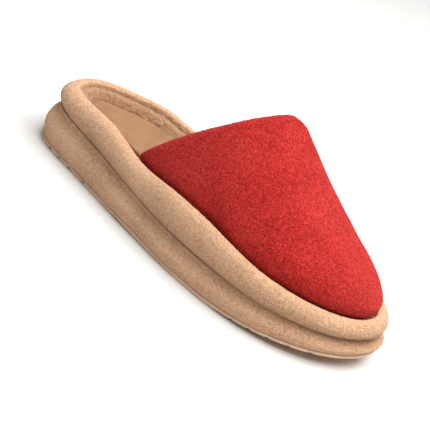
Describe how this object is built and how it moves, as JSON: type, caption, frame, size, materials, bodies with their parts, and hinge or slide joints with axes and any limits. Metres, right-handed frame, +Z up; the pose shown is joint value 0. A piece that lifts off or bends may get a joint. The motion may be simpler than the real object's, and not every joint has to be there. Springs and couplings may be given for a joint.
{
  "type": "slipper",
  "caption": "Closed-toe mule slipper: a hollow vamp over a padded rim and platform sole, with a smooth insole and a thin grooved outsole.",
  "frame": {"origin": "middle of the outer box, on the floor that the sole stands on", "axes": "+X towards the toe, +Y towards the inner side of the foot, +Z up"},
  "size_m": [0.29, 0.1166, 0.1102],
  "materials": {
    "outsole_rubber": "smooth matt rubber in a greyish tan",
    "sole_fabric": "soft short-pile beige fabric, very matt",
    "rim_fabric": "soft short-pile beige fabric over padding, very matt",
    "insole_leather": "smooth matt tan leather",
    "upper_fabric": "red terry-like wool fabric with a short looped nap"
  },
  "bodies": {
    "root": {"outsole": "outsole_rubber", "midsole": "sole_fabric", "rim": "rim_fabric", "insole": "insole_leather", "upper": "upper_fabric"}
  },
  "joints": []
}
